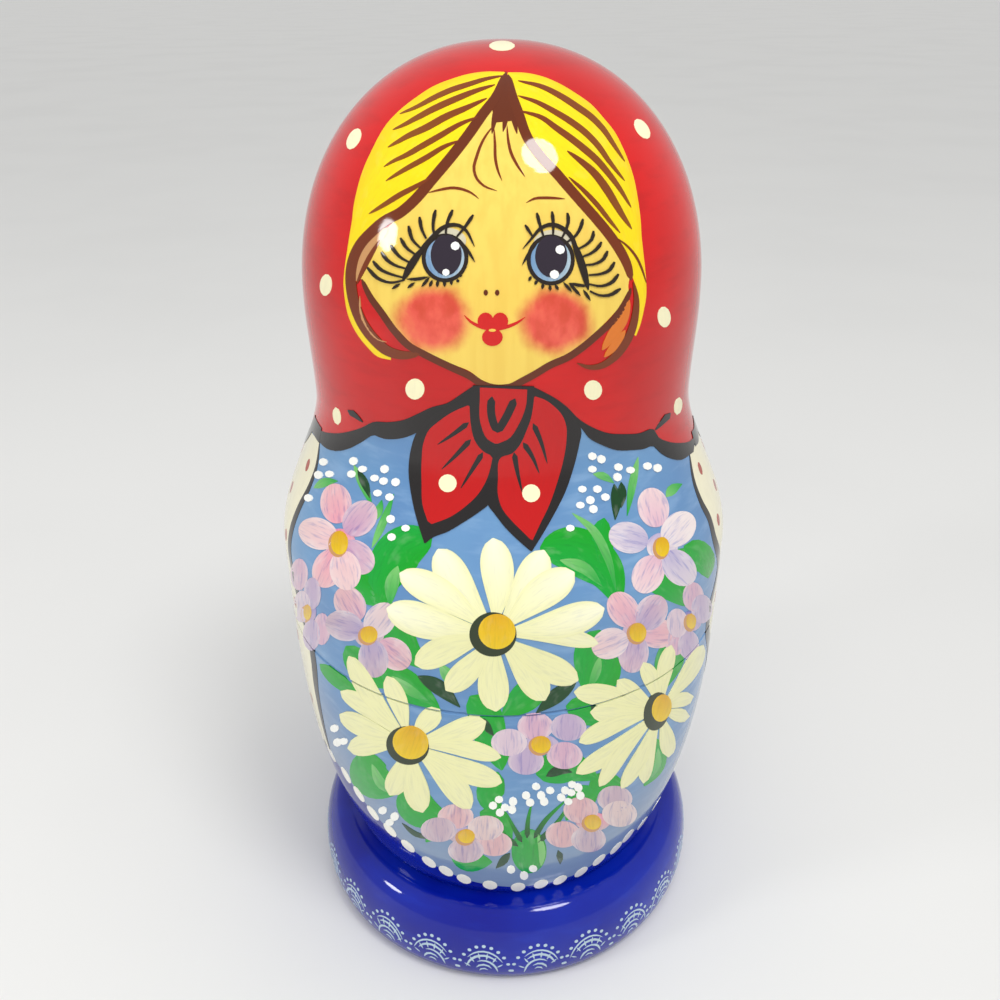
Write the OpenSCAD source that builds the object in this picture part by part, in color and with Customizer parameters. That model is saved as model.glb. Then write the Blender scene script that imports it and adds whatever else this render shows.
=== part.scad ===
// Nesting doll set turned from linden wood: four hollow dolls that pull apart at a
// turned rim and one solid doll, each standing on the floor of the next larger one.
// Millimetres, +Z up, origin at the middle of the plinth's underside.

/* [Outer doll] */
// Height of the closed outer doll
doll_h = 170; // [155:1:200]
// Widest diameter of the body
belly_d = 84.5; // [78:0.5:100]
// Diameter where the body meets the plinth
waist_d = 68; // [62:0.5:74]
// Widest diameter of the head
head_d = 68; // [62:0.5:80]
// How far the neck draws in from the head, on the radius
neck_pinch = 0.5; // [0:0.1:1]

/* [Heights of the outer doll] */
// Height of the waist, where the body meets the plinth
waist_z = 18; // [17:0.5:24]
// Rise from the waist to the widest line of the body
belly_rise = 53.5; // [44:0.5:58]
// Rise from there to where the shoulder begins
shoulder_rise = 14.5; // [10:0.5:20]
// Rise from the shoulder to the neck
neck_rise = 29; // [24:0.5:34]
// Rise from the neck to the widest line of the head
head_rise = 15.5; // [12:0.5:19]
// How far the joint of base and top lies under the widest line of the body
seam_drop = 0.5; // [0:0.5:8]

/* [Turned curves] */
// How long the body stays full before it tapers to the waist
taper_power = 2.5; // [2.2:0.05:3.2]
// Fullness of the crown, 2 being a plain ellipse
crown_fullness = 2.15; // [2:0.05:2.4]
// Fullness of the plinth's shoulder, 2 being a plain ellipse
plinth_fullness = 2.2; // [1.6:0.1:2.6]

/* [Plinth] */
// How far the plinth's edge stays inside the widest line of the body
plinth_inset = 0.75; // [0:0.25:2]
// Height of the plinth's widest part
plinth_z = 5.5; // [4:0.5:8]
// How far the flat underside stays inside the plinth's edge
foot_inset = 2.5; // [1:0.5:5]
// How far the plinth's upper lip stands out from the waist
lip_out = 1.4; // [0.5:0.1:3]
// Width of the groove between plinth and body
groove_w = 1; // [0.8:0.1:2.5]
// Depth of that groove
groove_depth = 0.6; // [0.3:0.1:1.2]

/* [Nested dolls] */
// Size of the second doll against the outer doll's body
second_step = 0.79; // [0.72:0.01:0.82]
// Size of the third doll against the second
third_step = 0.78; // [0.72:0.01:0.82]
// Size of the fourth doll against the third
fourth_step = 0.77; // [0.72:0.01:0.82]
// Size of the solid smallest doll against the fourth
smallest_step = 0.76; // [0.7:0.01:0.8]
// Edge break round the underside of a nested doll
foot_break = 0.8; // [0.4:0.1:1.2]

/* [Walls and floors] */
// Wall of the outer doll
outer_wall = 4.4; // [3.8:0.1:4.8]
// Wall of the second doll
second_wall = 3.6; // [3:0.1:4]
// Wall of the third doll
third_wall = 3; // [2.6:0.1:3.4]
// Wall of the fourth doll
fourth_wall = 2.6; // [2.2:0.1:2.9]
// Height of the outer doll's inside floor
outer_floor_z = 19; // [17:0.5:21]
// Thickness of the second doll's floor
second_floor = 4.5; // [3.5:0.5:6]
// Thickness of the third doll's floor
third_floor = 4; // [3:0.5:5]
// Thickness of the fourth doll's floor
fourth_floor = 3.5; // [2.5:0.5:4.5]
// Rounding where a wall meets its floor
floor_round = 2; // [1:0.5:2.5]
// Wood left at the crown beyond the wall
crown_extra = 1.5; // [0.5:0.5:3]

/* [Rim joints] */
// Height of the outer doll's rim, the nested ones in proportion
rim_h = 9; // [7:0.5:10]
// Share of the wall that stands up as the rim
rim_share = 0.5; // [0.45:0.01:0.55]
// Clearance round a rim, on the radius
fit_gap = 0.06; // [0.03:0.01:0.1]
// Clearance above a rim
rim_top_gap = 0.5; // [0.3:0.1:1]
// Edge break at the joint line and on the rim of the outer doll
seam_break = 0.4; // [0.2:0.1:0.6]

/* [Hidden] */
wood = [0.85, 0.72, 0.5];

belly_r = belly_d / 2;
waist_r = waist_d / 2;
head_r = head_d / 2;
neck_r = head_r - neck_pinch;
plinth_r = belly_r - plinth_inset;
foot_r = plinth_r - foot_inset;
lip_r = waist_r + lip_out;

// Heights above the waist, which is where a nested doll has its underside
seam_up = belly_rise - seam_drop;
shoulder_up = belly_rise + shoulder_rise;
neck_up = shoulder_up + neck_rise;
head_up = neck_up + head_rise;
crown_h = doll_h - waist_z - head_up;

// Sizes against the outer doll's body
second_k = second_step;
third_k = second_k * third_step;
fourth_k = third_k * fourth_step;
smallest_k = fourth_k * smallest_step;

// Places of the undersides, each on the floor of the doll round it
second_z = outer_floor_z;
third_z = second_z + second_floor;
fourth_z = third_z + third_floor;
smallest_z = fourth_z + fourth_floor;

// Degrees of the arcs that round a corner or a crown
quarter = 90;
// Points along each stretch of a turned outline
skin_steps = 20;
crown_steps = 20;
wall_steps = 14;
corner_steps = 5;

function ease(u) = u * u * (3 - 2 * u);

// Radius of the body's skin at a height above the waist
function skin_r(z) =
    z < belly_rise ? belly_r - (belly_r - waist_r) * pow((belly_rise - z) / belly_rise, taper_power) :
    z < shoulder_up ? belly_r :
    z < neck_up ? belly_r + (neck_r - belly_r) * ease((z - shoulder_up) / (neck_up - shoulder_up)) :
    z < head_up ? neck_r + (head_r - neck_r) * ease((z - neck_up) / (head_up - neck_up)) :
    head_r;

// Skin of a doll of size k between two of its own heights
function skin(k, low, high, steps) =
    [for (i = [0 : steps]) let (z = low + (high - low) * i / steps) [k * skin_r(z / k), z]];

// Quarter of a full ellipse from its widest point towards the axis
function shoulder_arc(r, wide, z, high, fullness, steps) =
    [for (i = [0 : steps]) let (t = quarter * i / steps, e = 2 / fullness)
        [r + wide * pow(cos(t), e), z + high * pow(sin(t), e)]];

function crown(k) =
    shoulder_arc(0, k * head_r, k * head_up, k * crown_h, crown_fullness, crown_steps);

// Radius of the hollow at a height above the waist
function wall_r(k, wall, z) = k * skin_r(max(z, 0) / k) - wall;

function wall_line(k, wall, low, high) =
    [for (i = [0 : wall_steps]) let (z = low + (high - low) * i / wall_steps)
        [wall_r(k, wall, z), z]];

function backwards(points) = [for (i = [len(points) - 1 : -1 : 0]) points[i]];

function seam_r(k) = k * skin_r(seam_up);
function recess_r(k, wall) = seam_r(k) - wall * (1 - rim_share);
function rim_r(k, wall) = recess_r(k, wall) - fit_gap;

// Underside of a nested doll, from the axis to the skin
function plain_foot(k) = [[0, 0], [k * waist_r - foot_break, 0]];

// Underside, plinth and groove of the outer doll
function plinth_foot() = concat(
    [[0, -waist_z]],
    [for (i = [0 : corner_steps]) let (t = quarter * i / corner_steps)
        [foot_r + (plinth_r - foot_r) * sin(t), plinth_z - plinth_z * cos(t) - waist_z]],
    [for (p = shoulder_arc(lip_r, plinth_r - lip_r, plinth_z - waist_z,
        waist_z - plinth_z - groove_w, plinth_fullness, skin_steps)) if (p[1] > plinth_z - waist_z) p],
    [[waist_r - groove_depth, -groove_w / 2]]);

// Rounded corner and floor of a hollow, down the wall and in to the axis
function floor_line(k, wall, floor) =
    let (r = wall_r(k, wall, floor + floor_round) - floor_round, z = floor + floor_round)
    concat([for (i = [1 : corner_steps]) let (t = quarter * i / corner_steps)
        [r + floor_round * cos(t), z - floor_round * sin(t)]], [[0, floor]]);

// Outline of a hollow base with its standing rim
function base_outline(k, wall, floor, foot, skin_low) =
    let (seam = k * seam_up, edge = k * seam_break, top = seam + k * rim_h)
    let (ring = rim_r(k, wall), bore = seam_r(k) - wall)
    concat(foot, skin(k, skin_low, seam - edge, skin_steps),
        [[seam_r(k) - edge, seam], [ring, seam], [ring, top - edge], [ring - edge, top], [bore, top]],
        backwards(wall_line(k, wall, floor + floor_round, seam)),
        floor_line(k, wall, floor));

// Outline of a hollow top with the recess that takes the rim
function top_outline(k, wall) =
    let (seam = k * seam_up, edge = k * seam_break, roof = seam + k * rim_h + rim_top_gap)
    let (bore = k * neck_r - wall, dome = k * crown_h - wall - crown_extra)
    concat([[recess_r(k, wall), seam], [seam_r(k) - edge, seam]],
        skin(k, seam + edge, k * head_up, 2 * skin_steps),
        [for (p = crown(k)) if (p[1] > k * head_up) p],
        backwards(shoulder_arc(0, bore, k * head_up, dome, crown_fullness, crown_steps)),
        backwards(wall_line(k, wall, roof, k * neck_up)),
        [[recess_r(k, wall), roof]]);

function solid_outline(k) =
    concat(plain_foot(k), skin(k, foot_break, k * head_up, 3 * skin_steps),
        [for (p = crown(k)) if (p[1] > k * head_up) p]);

module turned(outline, z) {
    color(wood)
        translate([0, 0, z])
            rotate_extrude()
                polygon(outline);
}

module nested_base(k, wall, floor, z) {
    turned(base_outline(k, wall, floor, plain_foot(k), foot_break), z);
}

module outer_base() {
    turned(base_outline(1, outer_wall, outer_floor_z - waist_z, plinth_foot(), 0), waist_z);
}

module outer_top() {
    turned(top_outline(1, outer_wall), waist_z);
}

module second_base() {
    nested_base(second_k, second_wall, second_floor, second_z);
}

module second_top() {
    turned(top_outline(second_k, second_wall), second_z);
}

module third_base() {
    nested_base(third_k, third_wall, third_floor, third_z);
}

module third_top() {
    turned(top_outline(third_k, third_wall), third_z);
}

module fourth_base() {
    nested_base(fourth_k, fourth_wall, fourth_floor, fourth_z);
}

module fourth_top() {
    turned(top_outline(fourth_k, fourth_wall), fourth_z);
}

module smallest_doll() {
    turned(solid_outline(smallest_k), smallest_z);
}

outer_base();
outer_top();
second_base();
second_top();
third_base();
third_top();
fourth_base();
fourth_top();
smallest_doll();
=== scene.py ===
import math

import bmesh
import bpy
import numpy as np
from mathutils import Matrix, Vector


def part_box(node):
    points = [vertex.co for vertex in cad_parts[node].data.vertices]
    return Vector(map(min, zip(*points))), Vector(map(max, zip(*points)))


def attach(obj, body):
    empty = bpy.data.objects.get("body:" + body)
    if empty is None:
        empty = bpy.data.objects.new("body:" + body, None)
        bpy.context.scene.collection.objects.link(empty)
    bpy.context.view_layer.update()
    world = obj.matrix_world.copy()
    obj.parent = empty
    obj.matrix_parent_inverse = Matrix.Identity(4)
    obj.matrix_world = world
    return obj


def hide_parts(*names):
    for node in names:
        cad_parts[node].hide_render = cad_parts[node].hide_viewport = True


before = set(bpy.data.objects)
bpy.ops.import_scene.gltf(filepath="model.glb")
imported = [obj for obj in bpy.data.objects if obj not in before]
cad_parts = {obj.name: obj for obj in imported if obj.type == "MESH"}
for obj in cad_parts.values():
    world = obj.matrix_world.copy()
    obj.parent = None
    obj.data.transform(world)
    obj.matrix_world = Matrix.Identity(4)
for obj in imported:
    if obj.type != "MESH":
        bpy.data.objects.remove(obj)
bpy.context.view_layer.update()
mm = 0.001


def paint(red, green, blue):  # a paint pot, written as on screen, kept as linear light
    pot = np.array((red, green, blue)) / 255
    return np.where(pot <= 0.04045, pot / 12.92, ((pot + 0.055) / 1.055) ** 2.4)


pots = dict(
    scarf=paint(198, 6, 8), scarfDeep=paint(158, 2, 4), scarfLight=paint(216, 8, 8),
    dress=paint(112, 157, 200), dressDeep=paint(94, 138, 188), dressLight=paint(140, 176, 214),
    plinth=paint(0, 14, 140), plinthLight=paint(4, 40, 170), hair=paint(255, 222, 0),
    hairWarm=paint(250, 180, 8), brown=paint(122, 48, 2), brownDark=paint(100, 38, 2),
    streak=paint(138, 76, 2), orange=paint(226, 122, 34), tan=paint(205, 150, 96), black=paint(30, 26, 26),
    lash=paint(36, 24, 14), cream=paint(255, 248, 205), white=paint(255, 255, 248),
    eyeBlue=paint(112, 152, 192), eyePale=paint(176, 198, 208), pupil=paint(44, 34, 48),
    lid=paint(214, 206, 178), lip=paint(214, 14, 12), petal=paint(255, 253, 228),
    petalShade=paint(240, 238, 178), yolk=paint(238, 200, 6), yolkDeep=paint(222, 168, 4),
    olive=paint(38, 52, 24), leaf=paint(0, 164, 26), leafDark=paint(6, 66, 22),
    leafLight=paint(126, 200, 112), leafMid=paint(6, 166, 58), blossom=paint(234, 194, 194),
    rose=paint(236, 142, 168), lilac=paint(188, 174, 208), violet=paint(120, 118, 192),
    palePink=paint(244, 230, 226), dusk=paint(216, 186, 184), mauve=paint(208, 182, 202),
    ringDot=paint(255, 252, 238), faceWood=paint(248, 214, 98), faceGrain=paint(238, 198, 84),
    faceWarm=paint(250, 207, 86), linden=paint(226, 196, 148), lindenGrain=paint(198, 160, 110),
    lindenWarm=paint(214, 176, 122), dressShadeGrey=paint(134, 152, 178), blush=paint(238, 64, 76),
    blushDeep=paint(214, 24, 46), sleeve=paint(246, 240, 208), sleeveDot=paint(172, 58, 36),
    lace=paint(186, 208, 220))


# camera, fitted to the doll's outline, joint line and plinth edge
dollCamera = dict(focal=0.9602, pitch=28.77, roll=-0.534, distance=0.1876, aim=(-0.00063, 0.0, 0.0887),
                  frameSide=1000, sensor=36.0, nearest=0.01)


def cameraAxes(setup):
    pitch, roll = math.radians(setup["pitch"]), math.radians(setup["roll"])
    back = np.array((0.0, -math.cos(pitch), math.sin(pitch)))
    spot = np.array(setup["aim"]) + back * setup["distance"]
    level = np.array((1.0, 0.0, 0.0))
    rise = np.cross(level, -back)
    right = math.cos(roll) * level + math.sin(roll) * rise
    up = -math.sin(roll) * level + math.cos(roll) * rise
    return spot, right, up, back


lensSpot, lensRight, lensUp, lensBack = cameraAxes(dollCamera)


def placeCamera(setup):
    lens = bpy.data.cameras.new("photoCamera")
    lens.sensor_fit = "HORIZONTAL"
    lens.sensor_width = setup["sensor"]
    lens.lens = setup["focal"] * setup["sensor"]
    lens.clip_start = setup["nearest"]
    camera = bpy.data.objects.new("photoCamera", lens)
    bpy.context.collection.objects.link(camera)
    turn = np.eye(4)
    turn[:3] = np.stack((lensRight, lensUp, lensBack, lensSpot), axis=1)
    camera.matrix_world = Matrix(turn.tolist())
    bpy.context.scene.camera = camera


placeCamera(dollCamera)
print("camera placed")


# turned shells, spun from the outlines of the CAD pieces
shellForm = dict(outerSteps=192, nestedSteps=128, straight=0.05, fairAngle=14.0, sharpAngle=30.0,
                 bareEdge=0.2)


def turnedOutline(node):  # half outline of a turned piece, from one end on the axis to the other
    bm = bmesh.new()
    bm.from_mesh(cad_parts[node].data)
    bmesh.ops.remove_doubles(bm, verts=bm.verts, dist=1e-6)
    bmesh.ops.bisect_plane(bm, geom=bm.verts[:] + bm.edges[:] + bm.faces[:], dist=1e-7, plane_co=(0, 0, 0),
                           plane_no=(0, 1, 0), clear_inner=True, clear_outer=True)
    bmesh.ops.bisect_plane(bm, geom=bm.verts[:] + bm.edges[:], dist=1e-7, plane_co=(0, 0, 0),
                           plane_no=(1, 0, 0), clear_inner=True)
    bmesh.ops.remove_doubles(bm, verts=bm.verts, dist=2e-6)
    ends = [v for v in bm.verts if v.co.x < 2e-6]
    here = min(ends, key=lambda v: v.co.z)
    chain, seen = [], set()
    while here is not None:
        chain.append((max(here.co.x, 0.0), here.co.z))
        seen.add(here)
        ways = [e.other_vert(here) for e in here.link_edges if e.other_vert(here) not in seen]
        here = ways[0] if ways else None
    bm.free()
    return np.array(chain)


def cornerTurns(points):
    run = np.diff(points, axis=0)
    heading = np.unwrap(np.arctan2(run[:, 1], run[:, 0]))
    return np.concatenate(((180.0,), np.abs(np.degrees(np.diff(heading))), (180.0,)))


def drawnNear(point, other, reach):  # the other point, brought within reach
    return point + (other - point) * min(1.0, reach / np.hypot(*(other - point)))


def fairOutline(points, setup):  # rounds the stretches that only turn a little, and keeps real corners
    points = points[cornerTurns(points) > setup["straight"]]
    turns = cornerTurns(points)
    fair = [points[0]]
    for i in range(len(points) - 1):
        a, b = points[i], points[i + 1]
        if turns[i] < setup["fairAngle"] and turns[i + 1] < setup["fairAngle"]:
            reach = np.hypot(*(b - a))
            before, after = drawnNear(a, points[i - 1], reach), drawnNear(b, points[i + 2], reach)
            fair.append((9 * (a + b) - before - after) / 16)  # four-point rule for the middle of a curve
        fair.append(b)
    return np.array(fair)


joints = {doll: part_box(doll + "_top")[0].z for doll in ("outer", "second", "third", "fourth")}
outlines = {node: fairOutline(turnedOutline(node), shellForm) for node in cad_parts}
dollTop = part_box("outer_top")[1].z


def nestedSize(name):  # scale against the outer doll, and the height of the underside
    if name == "smallest":
        low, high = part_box("smallest_doll")
        return (high.z - low.z) / (dollTop - waist), low.z
    scale = (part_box(name + "_top")[1].z - joints[name]) / (dollTop - joints["outer"])
    return scale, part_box(name + "_base")[0].z


secondScale, secondFoot = nestedSize("second")
waist = joints["outer"] - (joints["second"] - secondFoot) / secondScale  # where the body meets the plinth


def paintedSpan(node):  # first and last outline point of the side that is painted
    points = outlines[node]
    if node == "smallest_doll":
        return 1, len(points) - 1
    joint = joints[node.split("_")[0]]
    if node.endswith("_base"):
        return 1, int(np.argmax(points[:, 1] > joint - 1e-6))
    first = len(points) - 1 - int(np.argmax(points[::-1, 1] < joint + 1e-6))
    return first, len(points) - 1


def skinOf(node):
    first, last = paintedSpan(node)
    return outlines[node][first:last + 1]


skin = np.vstack((skinOf("outer_base"), skinOf("outer_top")))
skin = skin[np.abs(skin[:, 1] - joints["outer"]) > shellForm["bareEdge"] * mm]  # no paint on the edge break
skin = skin[np.argsort(skin[:, 1], kind="stable")]
skinStep = np.gradient(skin, axis=0)
skinFacing = np.stack((skinStep[:, 1], -skinStep[:, 0]), axis=1)
skinFacing /= np.maximum(np.hypot(skinFacing[:, 0], skinFacing[:, 1]), 1e-12)[:, None]
missed = -0.02  # stands for a radius at heights where there is no doll


def skinRadius(z):
    return np.where((z < 0) | (z > dollTop), missed, np.interp(z, skin[:, 1], skin[:, 0]))


def castRadius(z):  # the body without its plinth
    return np.where(z < waist, missed, skinRadius(z))


def skinNormal(points):
    around = np.arctan2(points[:, 1], points[:, 0])
    out = np.interp(points[:, 2], skin[:, 1], skinFacing[:, 0])
    rise = np.interp(points[:, 2], skin[:, 1], skinFacing[:, 1])
    normal = np.stack((out * np.cos(around), out * np.sin(around), rise), axis=1)
    return normal / np.linalg.norm(normal, axis=1)[:, None]


castForm = dict(nearest=0.08, farthest=0.3, marks=441, halvings=24)


def photoCanvas(spots):  # places in the photo's frame, cast from the camera onto the doll's skin
    side, focal = dollCamera["frameSide"], dollCamera["focal"]
    reach = (spots - side / 2) / (side * focal)
    rays = -lensBack + reach[:, :1] * lensRight - reach[:, 1:] * lensUp
    steps = np.linspace(castForm["nearest"], castForm["farthest"], castForm["marks"])
    marks = lensSpot + rays[:, None, :] * steps[None, :, None]
    gap = np.hypot(marks[..., 0], marks[..., 1]) - castRadius(marks[..., 2])
    inside = gap < 0
    hit = inside.any(axis=1)
    first = np.where(hit, inside.argmax(axis=1), gap.argmin(axis=1))
    far = steps[first]
    near = steps[np.maximum(first - 1, 0)]
    for _ in range(castForm["halvings"]):
        middle = (near + far) / 2
        spot = lensSpot + rays * middle[:, None]
        within = np.hypot(spot[:, 0], spot[:, 1]) < castRadius(spot[:, 2])
        far = np.where(hit & within, middle, far)
        near = np.where(hit & ~within, middle, near)
    spot = lensSpot + rays * far[:, None]
    around = np.arctan2(spot[:, 1], spot[:, 0])
    spot[:, 2] = np.clip(spot[:, 2], waist, dollTop)
    radius = np.maximum(skinRadius(spot[:, 2]), 0)
    return np.stack((radius * np.cos(around), radius * np.sin(around), spot[:, 2]), axis=1)


wrapRadius = 38.0
girth = 2 * math.pi * wrapRadius


def wrapCanvas(spots):  # places as millimetres round from the front at that radius, and of height
    turn = spots[:, 0] / wrapRadius
    height = spots[:, 1] * mm
    radius = np.maximum(skinRadius(height), 0)
    return np.stack((radius * np.sin(turn), -radius * np.cos(turn), height), axis=1)


def wrapPlace(photoPoints):  # the same for places in the photo's frame
    spots = photoCanvas(np.array(photoPoints, float))
    return np.stack((np.arctan2(spots[:, 0], -spots[:, 1]) * wrapRadius, spots[:, 2] / mm), axis=1)


def wrapTurn(places):  # the same for places in degrees and millimetres
    return [(math.radians(turn) * wrapRadius, height) for turn, height in places]


# brush strokes
def smoothLine(points):
    points = np.array(points, float)
    if len(points) == 2:
        points = np.array((points[0], points.mean(axis=0), points[1]))
    mark = np.concatenate(((0.0,), np.cumsum(np.hypot(*np.diff(points, axis=0).T))))
    slope = np.gradient(points, mark, axis=0)

    def at(v):
        s = np.clip(v, 0, 1) * mark[-1]
        i = np.clip(np.searchsorted(mark, s, side="right") - 1, 0, len(mark) - 2)
        h = (mark[i + 1] - mark[i])[:, None]
        x = (s - mark[i])[:, None] / h
        return ((2 * x ** 3 - 3 * x ** 2 + 1) * points[i] + (x ** 3 - 2 * x ** 2 + x) * h * slope[i]
                + (3 * x ** 2 - 2 * x ** 3) * points[i + 1] + (x ** 3 - x ** 2) * h * slope[i + 1])

    return at, mark[-1]


brushForms = dict(  # share of a stroke's width along it
    line=lambda v: np.maximum(1 - np.abs(2 * v - 1) ** 10, 0.0) ** 0.5 * 0.9 + 0.1,
    taper=lambda v: 0.08 + 0.92 * np.sin(np.pi * v) ** 0.6,
    blade=lambda v: 0.06 + 0.94 * np.sin(np.pi * v ** 0.85),
    tail=lambda v: 0.1 + 0.9 * (1 - v) ** 0.7 * np.minimum(v / 0.06, 1) ** 0.5,
    lash=lambda v: (0.45 + 0.55 * v) * np.maximum(1 - np.maximum(v - 0.85, 0) / 0.15 * 0.6, 0.1),
    daisy=lambda v: np.where(
        v < 0.66, 0.14 + 0.86 * np.sin(np.pi / 2 * np.minimum(v / 0.66, 1)) ** 1.3,
        0.05 + 0.95 * np.maximum(1 - (np.maximum(v - 0.66, 0) / 0.34) ** 2.2, 0) ** 0.62),
    full=lambda v: np.ones_like(v),
    leaf=lambda v: 0.05 + 0.95 * np.sin(np.pi * v ** 0.75) ** 0.8)


def strokeShape(stroke, brush="line"):  # a stroke is its width and the points along it
    width, points = stroke
    line, length = smoothLine(points)

    def shape(u, v):
        ahead = line(v + 0.01) - line(v - 0.01)
        ahead /= np.maximum(np.hypot(ahead[:, 0], ahead[:, 1]), 1e-9)[:, None]
        side = np.stack((-ahead[:, 1], ahead[:, 0]), axis=1)
        return line(v) + side * (u * width / 2 * brushForms[brush](v))[:, None]

    return shape, (width, length)


def bandShape(left, right):  # the space between two lines
    leftLine, length = smoothLine(left)
    rightLine, _ = smoothLine(right)
    middle = np.array((0.5,))
    width = np.hypot(*(leftLine(middle) - rightLine(middle))[0])

    def shape(u, v):
        return leftLine(v) * ((1 - u) / 2)[:, None] + rightLine(v) * ((1 + u) / 2)[:, None]

    return shape, (width, length)


def discShape(centre, radii, tilt=0.0):
    c, s = math.cos(math.radians(tilt)), math.sin(math.radians(tilt))

    def shape(u, v):
        w = 2 * v - 1
        x = radii[0] * u * np.sqrt(1 - w * w / 2)
        y = radii[1] * w * np.sqrt(1 - u * u / 2)
        return np.stack((centre[0] + c * x - s * y, centre[1] + s * x + c * y), axis=1)

    return shape, (2 * radii[0], 2 * radii[1])


def wash(start, end=None, rim=None, rimShare=0.5):  # colour along a stroke, with another at its sides
    start = np.asarray(start)
    end = start if end is None else np.asarray(end)

    def tone(u, v):
        colour = start + (end - start) * v[:, None]
        if rim is not None:
            share = (rimShare * np.abs(u) ** 2.5)[:, None]
            colour = colour * (1 - share) + np.asarray(rim) * share
        return colour

    return tone


def sideWash(left, right):  # one colour to another across a stroke
    return lambda u, v: np.asarray(left) * ((1 - u) / 2)[:, None] + np.asarray(right) * ((1 + u) / 2)[:, None]


boardForm = dict(cell=4.5, nestedCell=8.0, across=(2, 64), along=(3, 96), firstLift=0.03, layerLift=0.022,
                 edgeDrop=0.006, thickness=0.34, pixel=0.2, apart=7.3)


class Board:  # a set of strokes that are laid one over another
    def __init__(self, cell):
        self.bm = bmesh.new()
        self.tone = self.bm.verts.layers.float_color.new("tone")
        self.stroke = self.bm.verts.layers.float_vector.new("stroke")
        self.cell = cell
        self.count = 0

    def lay(self, outline, tone, layer, canvas=photoCanvas, streak=0.0, finish=0):
        shape, (width, length) = outline
        unit = boardForm["pixel"] if canvas is photoCanvas else 1.0
        cell = self.cell * boardForm["pixel"] / unit
        across = int(np.clip(round(width / cell), *boardForm["across"]))
        along = int(np.clip(round(length / cell), *boardForm["along"]))
        made = bmesh.ops.create_grid(self.bm, x_segments=across, y_segments=along, size=1.0)["verts"]
        place = np.array([vert.co[:] for vert in made])
        u, v = place[:, 0], (place[:, 1] + 1) / 2
        spots = canvas(shape(u, v))
        lift = boardForm["firstLift"] + boardForm["layerLift"] * layer
        lift = lift - boardForm["edgeDrop"] * np.abs(u) ** 4
        spots = spots + skinNormal(spots) * (lift * mm)[:, None]
        colour = tone(u, v)
        streaks = streak(u, v) if callable(streak) else np.full(len(u), streak)
        sideways, onward = u * width / 2 * unit, v * length * unit
        for vert, spot, tint, share, s, t in zip(made, spots, colour, streaks, sideways, onward):
            vert.co = spot
            vert[self.tone] = (*tint, share)
            vert[self.stroke] = (s, t, boardForm["apart"] * self.count)
        faces = list({face for vert in made for face in vert.link_faces})
        for face in faces:
            face.normal_update()
            face.material_index = finish
        middle = faces[len(faces) // 2]
        if np.dot(middle.normal, skinNormal(np.array([middle.calc_center_median()[:]]))[0]) < 0:
            bmesh.ops.reverse_faces(self.bm, faces=faces)
        self.count += 1

    def dot(self, centre, radii, tone, layer, tilt=0.0, canvas=photoCanvas):
        self.lay(discShape(centre, radii, tilt), wash(tone), layer, canvas)

    def line(self, stroke, tone, layer, brush="line", canvas=photoCanvas):
        self.lay(strokeShape(stroke, brush), wash(tone), layer, canvas)


print("brushes ready")


# hem of the scarf and dotted edge of the skirt, round the whole doll
hemForm = dict(  # front in the photo's frame, back in degrees from the front and millimetres
    width=2.6, ends=(0.02, 0.98), samples=12,
    leftUpper=[(318, 427), (322, 431), (331, 433), (341, 433), (351, 431), (363, 427), (373, 422),
        (388, 422), (403, 420), (417, 414), (432, 407), (447, 403), (461, 394), (473, 386)],
    leftLower=[(320, 442), (326, 448), (338, 451), (348, 449), (362, 442), (375, 435), (382, 438),
        (394, 439), (406, 437), (416, 433), (430, 424), (447, 413), (462, 404), (476, 394)],
    rightUpper=[(532, 386), (544, 392), (555, 398), (566, 406), (579, 419), (592, 427), (608, 433),
        (624, 434), (640, 433), (653, 429), (658, 437), (669, 442), (680, 443), (690, 441), (695, 435)],
    rightLower=[(529, 394), (543, 402), (556, 410), (569, 419), (581, 428), (589, 438), (602, 445),
        (616, 450), (632, 450), (643, 449), (653, 446), (659, 452), (669, 458), (680, 460), (693, 452)],
    back=[[(72, 106.6), (78, 106.0), (84, 106.6)],
        [(83, 106.8), (92, 102.6), (102, 101.2), (112, 101.8), (122, 104.0)],
        [(122, 104.0), (131, 99.6), (140, 97.6), (149, 97.2), (157, 98.4)],
        [(157, 98.4), (164, 93.6), (171, 90.2), (180, 86.0)],
        [(-180, 86.0), (-171, 90.2), (-164, 93.6), (-157, 98.4)],
        [(-157, 98.4), (-149, 97.2), (-140, 97.6), (-131, 99.6), (-122, 104.0)],
        [(-122, 104.0), (-110, 101.6), (-98, 101.4), (-86, 104.0), (-76, 109.4)],
        [(-78, 108.8), (-72, 109.2), (-66, 109.4)]])
skirtForm = dict(
    lift=1.5,
    dots=[(346, 775), (359, 794), (373, 813), (390, 830), (408, 846), (429, 862), (446, 871), (464, 879),
        (490, 885), (518, 887), (541, 884), (560, 880), (581, 872), (599, 860), (616, 848), (628, 836)],
    back=[(56, 25.0), (66, 34.0), (77, 41.0), (90, 43.5), (112, 43.0), (136, 41.0), (180, 39.5),
        (-136, 41.0), (-112, 43.0), (-90, 44.5), (-68, 44.0)])


def hemMiddle(side):
    return (np.array(hemForm[side + "Upper"], float) + np.array(hemForm[side + "Lower"], float)) / 2


def alongWrap(run):  # height at any place round the doll
    run = run[np.argsort(run[:, 0])]
    return lambda arc: np.interp(arc, run[:, 0], run[:, 1], period=girth)


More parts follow.
